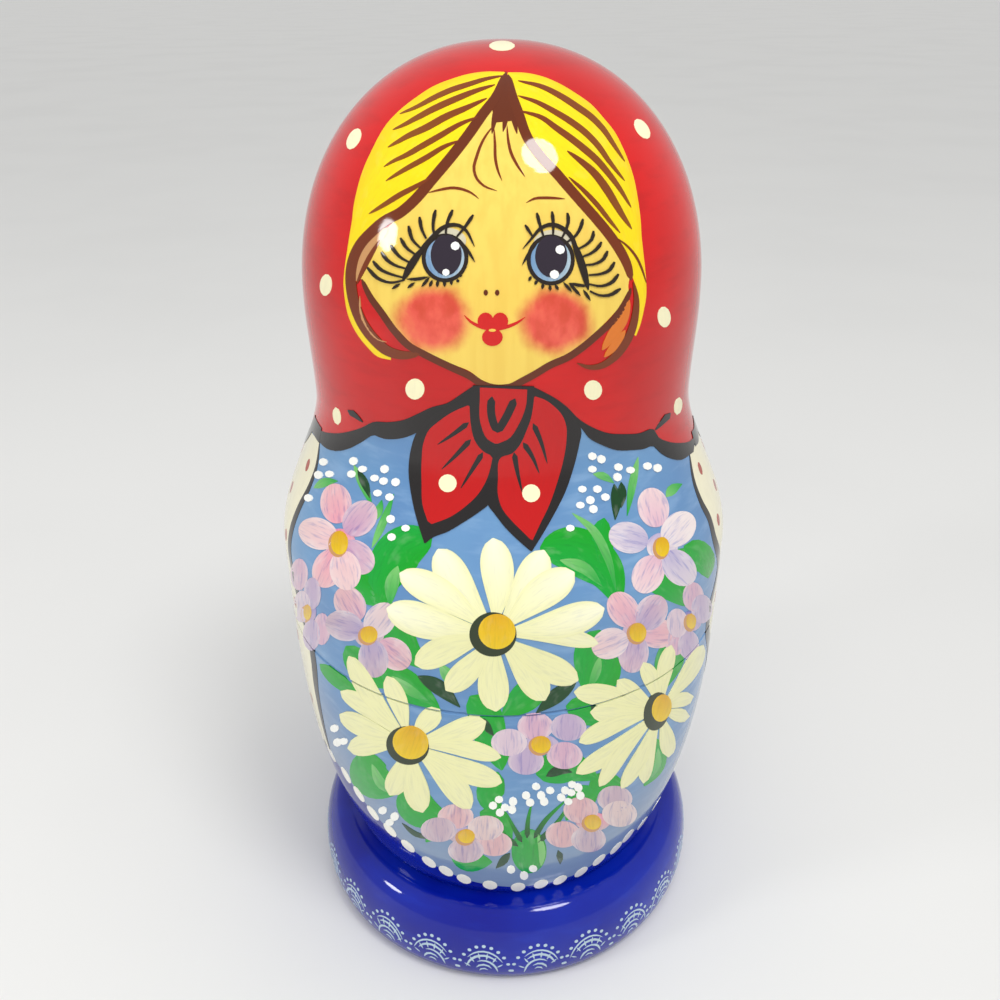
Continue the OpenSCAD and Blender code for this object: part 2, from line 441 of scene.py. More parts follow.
hemRun = [wrapPlace(hemMiddle(side)) for side in ("left", "right")]
for scallop in hemForm["back"]:
    way, _ = smoothLine(wrapTurn(scallop))
    hemRun.append(way(np.linspace(*hemForm["ends"], hemForm["samples"])))
hemHeight = alongWrap(np.vstack(hemRun))
skirtFront = wrapPlace(skirtForm["dots"])
skirtFront[:, 1] = np.maximum(skirtFront[:, 1], waist / mm + skirtForm["lift"])
skirtHeight = alongWrap(np.vstack((skirtFront, wrapTurn(skirtForm["back"]))))
print("hem and skirt edge placed")


# hair
hairForm = dict(  # a stroke is its width and its points
    streak=0.08, warmFrom=0.45, warmPower=1.5, fringeWidth=8, curlWidth=3,
    leftOuter=[(504, 72), (486.7, 71.7), (469, 74), (451.7, 79), (434, 86), (416.7, 97), (400, 110),
        (387.5, 123), (379, 136), (372, 150), (365, 165), (360, 179), (356.6, 192), (353.7, 206), (352, 221),
        (349.6, 235), (347, 252), (344.5, 270), (343.6, 280), (344.8, 298), (348.4, 316), (355.6, 331.6),
        (366.4, 346), (378.4, 357), (391, 360)],
    leftInner=[(506, 74), (498, 90), (488, 106), (474, 126), (457.5, 146), (442, 164), (432, 178),
        (422.5, 188), (410, 204), (390, 216), (379, 222), (370, 230), (361, 240), (355.7, 247), (352, 256),
        (350, 266), (349.6, 276), (351, 291), (354, 307), (359, 323), (367, 336), (378, 347), (391, 357)],
    rightOuter=[(508, 72.5), (524, 72.8), (541.7, 76.3), (560, 84), (576.7, 94), (590.7, 104), (603.5, 118),
        (614, 131), (622, 146), (629, 163), (634, 179), (637, 194), (639.7, 212), (640.8, 223), (641.4, 235),
        (643, 250), (645, 268), (646.3, 285), (646, 298), (644, 309), (640.5, 324), (636, 336)],
    rightInner=[(507, 76), (511, 94), (515, 107), (520, 120), (529, 138), (543, 155), (557, 168), (571, 184),
        (586, 202), (598, 217), (610, 231), (619.5, 246), (626, 260), (630.5, 272), (634, 281), (637, 290),
        (637, 309), (635, 324), (633, 334)],
    streaksLeft=[(5.3, [(503, 76), (487, 79), (469, 84.5), (452, 90), (434, 98), (417, 107), (400, 114)]),
        (6.3, [(495, 85), (475, 91.5), (457.5, 98.5), (434, 109), (417, 118), (404, 125), (393, 130)]),
        (6.8, [(487, 98.5), (469, 107), (446, 117), (426, 128), (408.5, 136), (396, 143), (388, 147.5)]),
        (5.8, [(478.5, 117), (463, 123), (440, 136), (422.5, 146), (405, 156), (393, 161.5), (384, 167)]),
        (5.3, [(460, 140.5), (446, 146), (426, 158), (407, 168.5), (386, 181)]),
        (5.3, [(432, 177), (417, 186), (400, 195), (384, 205), (369, 214)])],
    streaksRight=[(6.3, [(518, 81), (542, 87), (560, 96), (577, 107), (592, 118), (603.5, 130), (613, 144),
                         (624.5, 161.5)]),
        (6.3, [(518, 96), (536, 102), (553, 111), (571, 122), (586, 133.5), (598, 146), (609, 161.5),
               (624.5, 181)]),
        (6.8, [(520, 111), (542, 118), (556, 128), (570, 138), (584, 149), (596.5, 160), (607, 172),
               (619, 188), (631, 207.6)]),
        (7.8, [(567, 151), (581, 161.5), (593, 172), (603.5, 185), (613, 200), (622, 215), (631.5, 229)]),
        (4.8, [(568.5, 177), (584, 191), (598, 206), (609, 220), (620, 233)])],
    partingLeft=[(505.5, 72), (501, 82), (495, 92), (492, 106), (495, 123)],
    partingRight=[(506.5, 72), (509, 84), (513, 96), (518, 108), (523, 120)],
    bandLeft=(10.5,
        [(505, 74), (496, 97), (484, 113), (467, 137), (449, 160), (432, 180), (415, 200), (400, 213),
         (385, 221), (372, 232), (361, 244), (354, 258), (351, 275), (352, 291), (356, 308), (363, 324),
         (374, 339), (388, 351), (402, 355), (420, 354)]),
    bandRight=(10,
        [(508, 75), (512, 95), (519, 115), (527, 137), (541, 157), (555, 172), (568, 187), (582, 203),
         (597, 220), (610, 236), (620, 251), (627, 265), (631, 280)]),
    loopLeft=(5, [(380, 240), (370, 257), (361, 275), (357, 284)]),
    fillLeft=(15, [(388, 228), (372, 243), (360, 262), (355, 282)]),
    wispLeft=(2.4, [(360, 296), (361, 312), (368, 329), (379, 340), (387, 342)]),
    loopRight=(8,
        [(633, 282), (636, 297), (635, 315), (631, 331), (624, 345), (613, 358), (600, 366), (588, 367),
         (577, 363)]),
    warmRight=[(11, [(629, 300), (622, 320), (612, 335), (602, 350)]),
        (8, [(625, 330), (615, 345), (604, 357)])],
    wispRight=(2.2, [(615, 237), (627, 246), (636, 257), (642, 270), (646, 283)]),
    fringe=[[(497, 110), (494, 122), (492, 134)], [(505, 112), (505, 122), (503, 132)],
        [(513, 112), (515, 124), (517, 134)], [(519, 114), (524, 126), (530, 138)]],
    curls=[[(494, 125), (484, 139), (477, 156), (474, 170), (477, 179), (484, 186), (497, 191)],
        [(494, 128), (495, 145), (495.4, 159), (498, 171), (502, 181)],
        [(507, 125), (508, 139), (511, 153), (517, 165), (525, 177)]])


def hairTone(u, v):  # warmer along the scarf
    share = (np.clip(-u - hairForm["warmFrom"], 0, 1) ** hairForm["warmPower"])[:, None]
    return pots["hair"] * (1 - share) + pots["hairWarm"] * share


def paintHair(board):
    form = hairForm
    for side in ("left", "right"):
        lock = bandShape(form[side + "Outer"], form[side + "Inner"])
        board.lay(lock, hairTone, layer=0, streak=form["streak"])
    board.lay(bandShape(form["partingLeft"], form["partingRight"]), wash(pots["brownDark"]), layer=2)
    board.line(form["fillLeft"], pots["tan"], layer=2, brush="taper")
    for name in ("bandLeft", "bandRight"):
        board.lay(strokeShape(form[name]), wash(pots["brownDark"], pots["brown"]), layer=3)
    board.line(form["loopLeft"], pots["brown"], layer=3, brush="taper")
    board.line(form["wispLeft"], pots["tan"], layer=3, brush="taper")
    for stroke in form["warmRight"]:
        board.line(stroke, pots["orange"], layer=3, brush="taper")
    board.line(form["loopRight"], pots["brown"], layer=4, brush="taper")
    board.line(form["wispRight"], pots["brown"], layer=4, brush="taper")
    for stroke in form["streaksLeft"] + form["streaksRight"]:
        board.lay(strokeShape(stroke, "taper"), wash(pots["brown"], pots["streak"]), layer=3)
    for points in form["fringe"]:
        board.line((form["fringeWidth"], points), pots["brownDark"], layer=2.4, brush="tail")
    for points in form["curls"]:
        board.line((form["curlWidth"], points), pots["brown"], layer=4, brush="taper")


# eyes
eyeForm = dict(lidShade=((2, -17), (19, 13)), streak=0.4, rim=4, rimStep=15, lid=4.5, corner=7.5, fold=3,
               under=3.5, lash=4, lower=3)
leftEyeForm = dict(
    iris=((445.3, 257.9), (21.3, 22.4)), pupil=((446.5, 255), (15.4, 20.4)),
    glints=[((455.6, 246), 4.4), ((446.3, 272.3), 3.6)],
    lid=[(404.7, 280), (413, 264), (424, 247), (433.5, 236.6), (443, 228), (451.7, 225), (460, 226),
        (466.6, 231), (471, 238.7), (474.6, 246.7)],
    corner=[(403, 281), (411, 266), (424, 247)], fold=[(461, 241), (468, 250.5), (475, 262)],
    under=[(407, 279), (418, 279), (429, 276.6)],
    lashes=[[(457, 237), (466, 226), (473.5, 215)], [(446, 235.5), (447, 225), (453, 210)],
        [(436, 238.7), (433.5, 229), (434, 219.5), (436, 210)], [(426.6, 238.7), (422, 229), (420, 217)],
        [(422, 249), (413, 240), (409, 226)], [(416.5, 255), (407, 248), (401, 238)],
        [(411, 263), (400.5, 257), (393, 248), (391, 245)],
        [(408, 269), (395, 265), (386.6, 259), (382, 252)],
        [(404.7, 277.7), (391, 274), (380, 268.6), (373.6, 261)],
        [(404.7, 280), (391, 282.5), (378, 278), (368, 267.5)]],
    lower=[[(400.5, 283.5), (392.5, 289)], [(415, 282.5), (408, 288)], [(430, 277), (422, 286.7)],
        [(432.5, 280), (430, 286.7)], [(438, 280), (437.6, 287)], [(444.7, 280), (445, 286.7)],
        [(451, 279), (452, 285)], [(457.5, 279), (458.6, 282.5)], [(460.7, 274.5), (461, 277)]])
rightEyeForm = dict(
    iris=((550.5, 259.9), (22, 23.4)), pupil=((551, 256.3), (16, 21)),
    glints=[((559.7, 249.7), 4.6), ((554, 274.4), 4.6)],
    lid=[(522.5, 249), (532, 238), (541, 228), (552, 224.7), (563, 229), (571, 237), (575, 247), (581, 263),
        (585, 276), (587.4, 289.6)],
    corner=[(572, 240), (577, 252), (583, 270), (588, 290)], fold=[(522, 265), (529, 253), (538, 242)],
    under=[(568.7, 283), (578, 285), (587.4, 286)],
    lashes=[[(532, 236), (525, 225)], [(543.4, 237), (540, 226), (536.6, 213)],
        [(552.7, 236), (553, 224), (551.7, 211.5)], [(560.5, 240), (566, 229), (568, 221), (567, 213)],
        [(565, 243), (574, 237), (580, 228), (582.5, 219)],
        [(577.5, 249), (586, 244.5), (592, 238), (593, 231)],
        [(581, 257), (591, 253), (598, 247), (601, 242)], [(584, 265), (594, 264), (603, 259), (607, 251)],
        [(588.5, 275), (599.5, 274), (609, 270), (614, 262)],
        [(588.5, 284), (600.6, 286), (611.6, 282), (618, 274)],
        [(589.6, 291), (598, 295), (609, 295), (620, 288.5)]],
    lower=[[(531, 276), (528.6, 281)], [(537, 280), (534.6, 284.7)], [(543, 283), (542, 289)],
        [(549.5, 284.7), (550, 290.7)], [(555, 284.7), (558, 290)], [(563, 282), (571.5, 292)],
        [(568.7, 283), (580, 295.7)], [(583, 289.6), (590, 300.6)]])


def paintEye(board, form):
    centre, radii = form["iris"]
    shift, shade = eyeForm["lidShade"]
    turns = np.radians(np.arange(0, 361, eyeForm["rimStep"]))
    rim = np.array(centre) + np.array(radii) * np.stack((np.cos(turns), np.sin(turns)), axis=1)
    board.dot(np.array(centre) + shift, shade, pots["lid"], layer=4)
    iris = sideWash(pots["eyeBlue"], pots["eyePale"])
    board.lay(discShape(centre, radii), iris, layer=5, streak=eyeForm["streak"])
    board.line((eyeForm["rim"], rim), pots["lash"], layer=6, brush="full")
    board.dot(*form["pupil"], pots["pupil"], layer=7)
    for spot, radius in form["glints"]:
        board.dot(spot, (radius, radius), pots["white"], layer=9)
    for name in ("lid", "corner", "fold", "under"):
        board.line((eyeForm[name], form[name]), pots["lash"], layer=8, brush="taper")
    for points in form["lashes"]:
        board.line((eyeForm["lash"], points), pots["lash"], layer=9, brush="lash")
    for points in form["lower"]:
        board.line((eyeForm["lower"], points), pots["lash"], layer=9)


# face
faceForm = dict(
    browWidth=2.8, noseRadii=(2.2, 3.1), blushEnd=1.25, blushFade=0.6,
    left=[(500, 100), (489, 114), (480, 126), (471, 138), (460, 150), (448, 163), (436, 177), (425, 189),
        (415, 200), (406, 210), (397, 219), (387, 229), (378, 240), (370.6, 257), (364, 267.5), (361, 277),
        (366, 289), (373, 297.5), (380, 307), (388, 317.5), (400, 331.6), (412, 343.6), (425, 351),
        (439.6, 358), (455, 365), (469.6, 371), (481.6, 379.6), (492.4, 383.8), (498.5, 384.5)],
    right=[(514, 100), (527, 130), (543, 154), (554, 167), (562, 177), (570, 189), (579, 201), (588, 211),
        (598, 223), (609, 236), (618, 248), (625, 261), (630, 274), (628, 285), (628.3, 291.7), (621.8, 303),
        (611.3, 316), (597.3, 330), (583.3, 343), (567, 354.7), (548.3, 362.8), (533.2, 371), (522.7, 378),
        (511, 383.3), (501.5, 384.5)],
    outline=(7, [(362, 279), (370, 296), (382, 313), (394, 330), (408, 345), (424, 354), (440, 362),
                 (455, 369), (470, 376), (482, 384), (496, 388), (510, 387), (522, 381), (535, 374),
                 (550, 365), (568, 357), (584, 346), (598, 334), (613, 320), (624, 304), (631, 288)]),
    cheeks=[((432.4, 319.6), (39, 35)), ((555, 321), (37, 34))],
    brows=[[(428, 193), (440, 190), (453, 188), (464.5, 190), (473, 194), (479, 199)],
        [(526, 203), (533.5, 199), (547.5, 198), (565, 199)]],
    nose=[(485.8, 292.6), (497.2, 292.6)],
    lips=[((485.6, 321), (8, 8.6)), ((500.2, 321), (8, 8.6)), ((492.8, 326), (8, 3.4)),
        ((492.4, 337), (10.4, 8.8))],
    gap=((492.4, 330), (3.6, 1.5)),
    smile=(4, [(464.3, 315), (470, 321), (479, 326), (492, 328.6), (507, 326.6), (518, 322), (525, 317)]))


def blushShare(spots):
    share = np.zeros(len(spots))
    for centre, radii in faceForm["cheeks"]:
        reach = np.hypot((spots[:, 0] - centre[0]) / radii[0], (spots[:, 1] - centre[1]) / radii[1])
        share = np.maximum(share, np.clip((faceForm["blushEnd"] - reach) / faceForm["blushFade"], 0, 1))
    return share


def paintFace(board):
    form = faceForm
    shape, size = bandShape(form["left"], form["right"])
    blush = lambda u, v: blushShare(shape(u, v))
    board.lay((shape, size), wash(pots["white"]), layer=1, streak=blush, finish=1)
    board.line(form["outline"], pots["brownDark"], layer=3)
    for points in form["brows"]:
        board.line((form["browWidth"], points), pots["brown"], layer=4, brush="taper")
    for spot in form["nose"]:
        board.dot(spot, form["noseRadii"], pots["brownDark"], layer=4)
    for centre, radii in form["lips"]:
        board.dot(centre, radii, pots["lip"], layer=5)
    board.line(form["smile"], pots["lip"], layer=4, brush="taper")
    board.dot(*form["gap"], pots["faceWarm"], layer=6)
    paintEye(board, leftEyeForm)
    paintEye(board, rightEyeForm)


# scarf
scarfForm = dict(
    tuckWidth=7, tickWidth=8, rayWidth=6, backRadius=1.9,
    knotOrder=[("tailLeftBlack", "black", 5), ("tailRightBlack", "black", 5), ("tailLeftRed", "scarf", 6),
        ("tailRightRed", "scarf", 6), ("knotBlack", "black", 7), ("knotRed", "scarf", 8)],
    tucks=[[(348, 410), (355, 415), (363, 422)], [(670, 413), (663, 421), (655, 430)]],
    dots=[((502, 46), (13, 5), 0), ((354, 139), (11.5, 6), -62), ((642, 129), (11.5, 6), 55),
        ((326, 285), (6, 11), 5), ((664, 317), (6.5, 10.5), -5), ((415, 389), (9.5, 10.5), 0),
        ((593, 390), (9, 9.8), 0), ((337, 416), (4, 9), -8), ((678, 406), (4, 9), 8)],
    backDots=[(112, 151), (180, 153), (-112, 151), (94, 131), (137, 133), (180, 130), (-137, 133),
        (-94, 131), (98, 113), (126, 113), (154, 111), (180, 105), (-154, 111), (-126, 113), (-98, 113),
        (150, 162), (-150, 162)],
    tailLeftBlack=([(473, 390), (455, 402), (432, 415), (416, 434), (411, 450), (409, 468), (412, 497),
                    (417, 519), (424.5, 543)],
        [(484, 396), (492, 440), (498, 456), (494, 480), (488, 505), (479, 512), (464, 522), (447, 532),
         (432, 538), (426, 543)]),
    tailLeftRed=([(468, 405), (454, 411), (439, 421), (429, 430), (424, 442), (422, 461), (422, 483),
                  (423, 505), (428, 521)],
        [(470, 406), (471, 424), (476, 442), (485, 452), (492, 456), (491, 465), (486, 481), (479, 493),
         (466, 506), (450, 517), (432, 524)]),
    tailRightBlack=([(526, 392), (515, 420), (500, 450), (492, 480), (488, 505), (494, 513), (504, 526),
                     (520, 542), (530.5, 551)],
        [(534, 389), (555, 400), (576, 420), (581, 430), (579, 444), (574, 465), (565, 492), (554, 514),
         (542, 535), (532, 551)]),
    tailRightRed=([(533, 398), (531, 417), (526, 431), (520, 444), (512, 453), (501, 457), (498, 479),
                   (498, 495), (502, 508), (512, 521), (523, 532), (530, 539)],
        [(535, 396), (544, 399), (554, 406), (562, 415), (566, 426), (566, 441), (563, 460), (557, 482),
         (549, 505), (539, 526), (532.5, 540)]),
    knotBlack=([(473, 385), (470, 395), (470, 410), (471, 424), (476, 442), (485, 452), (495, 456)],
        [(534, 386), (534, 394), (533, 405), (531, 417), (526, 431), (520, 444), (512, 453), (498, 456)]),
    knotRed=([(480, 387), (480, 395), (481, 424), (488, 439), (495, 443)],
        [(527, 389), (526, 404), (518, 425), (509, 438), (498, 443)]),
    tick=[[(492, 396), (491, 408), (493, 421), (498, 432)], [(497, 432), (506, 417), (515, 398)]],
    rays=[[(469, 422), (453, 434), (438, 444)], [(471, 439), (458, 453), (442, 469)],
        [(483, 452), (472, 470), (461, 488)], [(533, 423), (541, 442), (547, 463)],
        [(523, 442), (532, 456), (539, 473)], [(514, 452), (517, 470), (522, 492)]],
    tailDots=[((448, 483), 9), ((531, 493), 9)])


def paintScarf(board):
    form = scarfForm
    for side in ("left", "right"):
        border = bandShape(hemForm[side + "Upper"], hemForm[side + "Lower"])
        board.lay(border, wash(pots["black"]), layer=4)
    for scallop in hemForm["back"]:
        stroke = (hemForm["width"], wrapTurn(scallop))
        board.line(stroke, pots["black"], layer=4, brush="full", canvas=wrapCanvas)
    for points in form["tucks"]:
        board.line((form["tuckWidth"], points), pots["black"], layer=4, brush="tail")
    for name, tone, layer in form["knotOrder"]:
        board.lay(bandShape(*form[name]), wash(pots[tone]), layer)
    for points in form["tick"]:
        board.line((form["tickWidth"], points), pots["black"], layer=9)
    for points in form["rays"]:
        board.line((form["rayWidth"], points), pots["black"], layer=7, brush="tail")
    for centre, radii, tilt in form["dots"]:
        board.dot(centre, radii, pots["cream"], layer=1, tilt=tilt)
    for centre, radius in form["tailDots"]:
        board.dot(centre, (radius, radius), pots["cream"], layer=8)
    for place in wrapTurn(form["backDots"]):
        wide = form["backRadius"] * wrapRadius * mm / skinRadius(place[1] * mm)
        board.dot(place, (wide, form["backRadius"]), pots["cream"], layer=1, canvas=wrapCanvas)


# sleeves
sleeveForm = dict(  # in degrees from the front and millimetres
    frontWidth=2.4, backWidth=1.4, dotRadii=(0.95, 1.15),
    leftFront=[(-66, 108.5), (-63.3, 104.3), (-63.6, 100.7), (-65.4, 96.9), (-67, 90), (-63, 80),
        (-57, 70.7), (-58, 60), (-58.5, 51), (-59, 43.5)],
    leftBack=[(-112, 103), (-119, 98), (-122, 90), (-122, 80), (-118, 70), (-108, 60), (-92, 51), (-74, 45),
        (-61, 43)],
    rightFront=[(65, 106), (61.7, 101.6), (61.7, 98.1), (63.4, 94.6), (63.7, 90.9), (70, 81), (64, 75.6),
        (64, 71.6), (70, 64), (76, 54), (80, 46)],
    rightBack=[(112, 103), (119, 98), (122, 90), (122, 80), (118, 70), (110, 60), (98, 51), (83, 45.5)],
    dots=[(-70, 103), (-79, 96), (-72, 89), (-88, 101), (-92, 90), (-81, 81), (-68, 76), (-100, 82),
        (-104, 95), (-90, 72), (-73, 66), (-110, 74), (-80, 57), (-66, 54), (69, 102), (78, 96), (70, 92),
        (88, 101), (92, 90), (80, 84), (73, 74), (100, 82), (104, 95), (90, 72), (82, 63), (110, 74),
        (92, 57)])


def paintSleeves(board):
    form = sleeveForm
    for side in ("left", "right"):
        front, back = wrapTurn(form[side + "Front"]), wrapTurn(form[side + "Back"])
        board.lay(bandShape(front, back), wash(pots["sleeve"]), layer=0, canvas=wrapCanvas)
        for edge in ((form["frontWidth"], front), (form["backWidth"], back)):
            board.line(edge, pots["black"], layer=1, brush="taper", canvas=wrapCanvas)
    for place in wrapTurn(form["dots"]):
        board.dot(place, form["dotRadii"], pots["sleeveDot"], layer=1, canvas=wrapCanvas)


# flowers
flowerForm = dict(
    stemWidth=6, dotRadii=(4.2, 3.5), dotVary=0.4,
    mainDaisy=dict(centre=(496, 634), yolk=((497, 631), (18.5, 17.5), 0), seed=((493, 634), (23.5, 22), 0),
        shade=640, tips=[(493, 538, 33), (438, 549, 34), (400, 573, 31), (387, 608, 34), (415, 664, 28),
                         (446, 690, 26), (496, 711, 31), (545, 700, 30), (578, 680, 28), (598, 643, 18),
                         (604, 608, 31), (574, 572, 34), (544, 550, 33)]),
    leftDaisy=dict(centre=(410, 743), yolk=((411, 742), (18, 16.4), 18), seed=((408, 745), (21.6, 19), 18),
        shade=600, tips=[(341, 691, 18), (349, 656, 20), (387, 676, 19), (440, 709, 21), (486, 721, 25),
                         (501, 757, 18), (502, 782, 23), (471, 808, 25), (423, 812, 25), (390, 795, 23),
                         (348, 748, 22), (340, 714, 20)]),
    rightDaisy=dict(centre=(660, 710), yolk=((661, 707.5), (9.6, 14), 14),
        seed=((656, 711), (12.4, 19.5), 14), shade=600,
        tips=[(574, 692, 22), (590, 712, 20), (579, 742, 18), (576, 773, 18), (599, 786, 16), (621, 788, 15),
              (643, 783, 16), (668, 757, 16), (689, 716, 14), (693, 696, 14), (703, 645, 16), (671, 645, 16),
              (643, 662, 17), (617, 680, 19)]),
    pinks=[dict(centre=(340, 542.6), yolk=(8.6, 12), size=(15.5, 20), turned=True, tone="blossom",
                root="rose",
                petals=[(336, 501), (361.5, 517), (317, 533), (328, 570), (358, 558), (346, 572)]),
        dict(centre=(662, 546.7), yolk=(7, 10), size=(15.5, 20), turned=True, tone="palePink", root="lilac",
             petals=[(652.5, 505), (626, 537), (679, 528), (647, 576), (680, 569)]),
        dict(centre=(369.5, 634), yolk=(8.6, 8.4), size=(15, 19), turned=True, tone="dusk", root="lilac",
             petals=[(349, 602), (343, 625), (381, 619), (396, 655), (374, 660)]),
        dict(centre=(637.5, 632), yolk=(8.6, 9.6), size=(15, 19), turned=True, tone="blossom", root="lilac",
             petals=[(622, 608), (652, 611), (608, 644), (658, 633), (633, 655)]),
        dict(centre=(308, 612), yolk=(4, 8), size=(8.5, 16), turned=False, tone="mauve", root="violet",
             petals=[(299, 572), (313, 592), (302, 606), (323, 630), (312, 636)]),
        dict(centre=(690.7, 621), yolk=(5, 8), size=(10.5, 14.5), turned=False, tone="mauve", root="violet",
             petals=[(693, 595), (702, 608), (676, 623), (674, 642), (688, 646)]),
        dict(centre=(541, 744), yolk=(10, 8.6), size=(18, 13.4), turned=False, tone="mauve", root="lilac",
             petals=[(535, 725), (570, 726), (507, 742), (566, 756), (525, 762)]),
        dict(centre=(466.6, 835.6), yolk=(8.6, 7), size=(18, 12.2), turned=False, tone="dusk", root="lilac",
             petals=[(455, 815), (437, 829), (487, 827), (496, 844), (466, 851)]),
        dict(centre=(592.6, 821.6), yolk=(8.6, 7.4), size=(17.5, 13), turned=False, tone="dusk", root="rose",
             petals=[(580, 809), (616, 797), (621, 813), (561, 835), (588, 840)])],
    broad=[(46, [(432, 536), (404, 548), (384, 578), (378, 612)]),
        (48, [(540, 548), (574, 550), (604, 570), (620, 606)]),
        (26, [(604, 518), (600, 545), (608, 575), (622, 600)]), (28, [(684, 546), (700, 556), (708, 578)]),
        (30, [(380, 668), (404, 684), (440, 710)]), (34, [(388, 606), (400, 640), (424, 668)]),
        (38, [(600, 630), (592, 658), (584, 690)]), (30, [(612, 652), (604, 676), (588, 704)]),
        (32, [(470, 696), (486, 716), (504, 746)]), (30, [(544, 682), (524, 698), (502, 716)]),
        (28, [(566, 706), (590, 712), (614, 726)]), (34, [(478, 722), (494, 742), (502, 770)]),
        (34, [(536, 774), (566, 766), (598, 778)]), (36, [(400, 790), (424, 812), (450, 820)]),
        (38, [(360, 752), (374, 780), (404, 790)]), (30, [(592, 796), (606, 786), (626, 790)]),
        (28, [(678, 638), (668, 664), (660, 692)]), (20, [(656, 738), (656, 762), (644, 786)]),
        (26, [(346, 646), (366, 672), (388, 688)]), (34, [(640, 566), (664, 580), (688, 606)]),
        (28, [(498, 772), (490, 796), (500, 816)]), (14, [(320, 664), (340, 682), (366, 699)]),
        (30, [(664, 570), (690, 562), (708, 566)]), (24, [(352, 570), (364, 590), (384, 606)]),
        (22, [(452, 812), (438, 826), (426, 842)]), (26, [(480, 812), (496, 820), (512, 838)]),
        (26, [(596, 790), (578, 802), (566, 820)]), (24, [(452, 848), (470, 860), (492, 862)])],
    light=[(9, [(572, 513), (592, 529), (608, 559), (616, 592)]), (8, [(593, 474), (603, 476), (614, 483)]),
        (8, [(638, 457), (632, 486), (627, 516)]), (10, [(666, 497), (674, 488), (682, 484)]),
        (9, [(314, 488), (326, 482), (338, 481)]), (9, [(354, 465), (364, 486), (372, 506)]),
        (9, [(373, 521), (379, 510), (382, 500)]), (8, [(372, 548), (384, 520), (394, 494)]),
        (12, [(440, 664), (448, 676), (456, 690)]), (14, [(398, 566), (392, 584), (390, 606)]),
        (12, [(560, 560), (584, 568), (602, 586)]), (10, [(392, 676), (410, 690), (430, 702)]),
        (7, [(658, 748), (657, 766), (648, 780)]), (10, [(372, 764), (382, 784), (404, 794)]),
        (9, [(600, 656), (596, 672), (588, 690)])],
    dark=[(10, [(614, 484), (616, 502), (615, 520)]), (9, [(621, 482), (622, 494), (621, 508)]),
        (8, [(358, 470), (366, 486), (370, 498)]), (15, [(418, 676), (440, 688), (460, 707)]),
        (15, [(576, 682), (556, 696), (536, 713)]), (5, [(402, 823), (416, 834), (440, 838)]),
        (8, [(484, 718), (488, 728), (494, 736)]), (10, [(546, 776), (560, 770), (572, 772)]),
        (8, [(510, 853), (503, 861), (496, 868)]), (7, [(558, 850), (560, 857), (560, 864)]),
        (9, [(600, 692), (594, 704), (592, 712)])],
    trunk=((529, 851), (17.5, 22)), trunkLight=(7, [(541, 866), (542, 850), (538, 834)]),
    stems=[[(522, 842), (514, 828), (506, 812)], [(527, 838), (528, 820), (532, 802)],
        [(534, 838), (544, 822), (566, 800)], [(538, 842), (556, 824), (574, 796)],
        [(518, 846), (506, 836), (498, 820)]],
    dots=[(499, 799), (493, 805), (513, 801), (505, 807), (500, 812), (512, 809), (536, 786), (526, 795),
        (541, 795), (550, 790), (530, 802), (544, 801), (572, 784), (565, 790), (578, 787), (571, 792),
        (561, 797), (580, 795), (568, 801), (511, 869), (524, 875), (533, 868), (383, 810), (395, 816),
        (390, 822), (335, 728), (338, 742), (344, 741), (592, 456), (601, 459), (592, 469), (618, 467),
        (617, 477), (630, 470), (647, 466), (657, 468), (582, 489), (597, 489), (590, 500), (580, 505),
        (605, 497), (593, 509), (570, 528), (324, 462), (319, 475), (330, 474), (309, 498), (354, 461),
        (363, 469), (352, 474), (385, 469), (375, 478), (384, 481), (396, 482), (378, 493), (390, 497),
        (391, 519), (406, 528), (392, 537)])
daisyForm = dict(root=0.1, middle=0.55, bend=0.04, fade=60, pale=(0.15, 0.85), rim=0.8, streak=0.12, layer=4,
                 overlap=0.35, yolkRim=0.6, yolkStreak=0.15)
pinkForm = dict(heart=0.7, heartStreak=0.5, reach=0.94, tints=("rose", "violet", "palePink"), tint=0.24,
                root=0.6, rim=0.45, streak=0.6, layer=2.8, overlap=0.35, shadeShift=(-1.5, 1.5),
                shadeGrow=1.2, yolkStreak=0.15)


def paintDaisy(board, form):
    centre = np.array(form["centre"], float)
    for i, (x, y, width) in enumerate(form["tips"]):
        away = np.array((x, y), float) - centre
        bend = np.array((-away[1], away[0])) * daisyForm["bend"] * (-1) ** i
        middle = centre + away * daisyForm["middle"] + bend
        points = [centre + away * daisyForm["root"], middle, centre + away]
        # painted shade: the lower petals, by their height in the frame, take more of the darker, yellower
        # petal tone
        low = np.clip((y - form["shade"]) / daisyForm["fade"] + 0.5, *daisyForm["pale"])
        far = pots["petal"] * (1 - low) + pots["petalShade"] * low
        tone = wash(pots["petalShade"], far, pots["petalShade"], daisyForm["rim"])
        layer = daisyForm["layer"] + daisyForm["overlap"] * (i % 3)
        board.lay(strokeShape((width, points), "daisy"), tone, layer, streak=daisyForm["streak"])
    seedCentre, seedRadii, tilt = form["seed"]
    board.dot(seedCentre, seedRadii, pots["olive"], layer=6, tilt=tilt)
    yolk = wash(pots["yolkDeep"], pots["yolk"], pots["yolk"], daisyForm["yolkRim"])
    board.lay(discShape(*form["yolk"]), yolk, layer=7, streak=daisyForm["yolkStreak"])


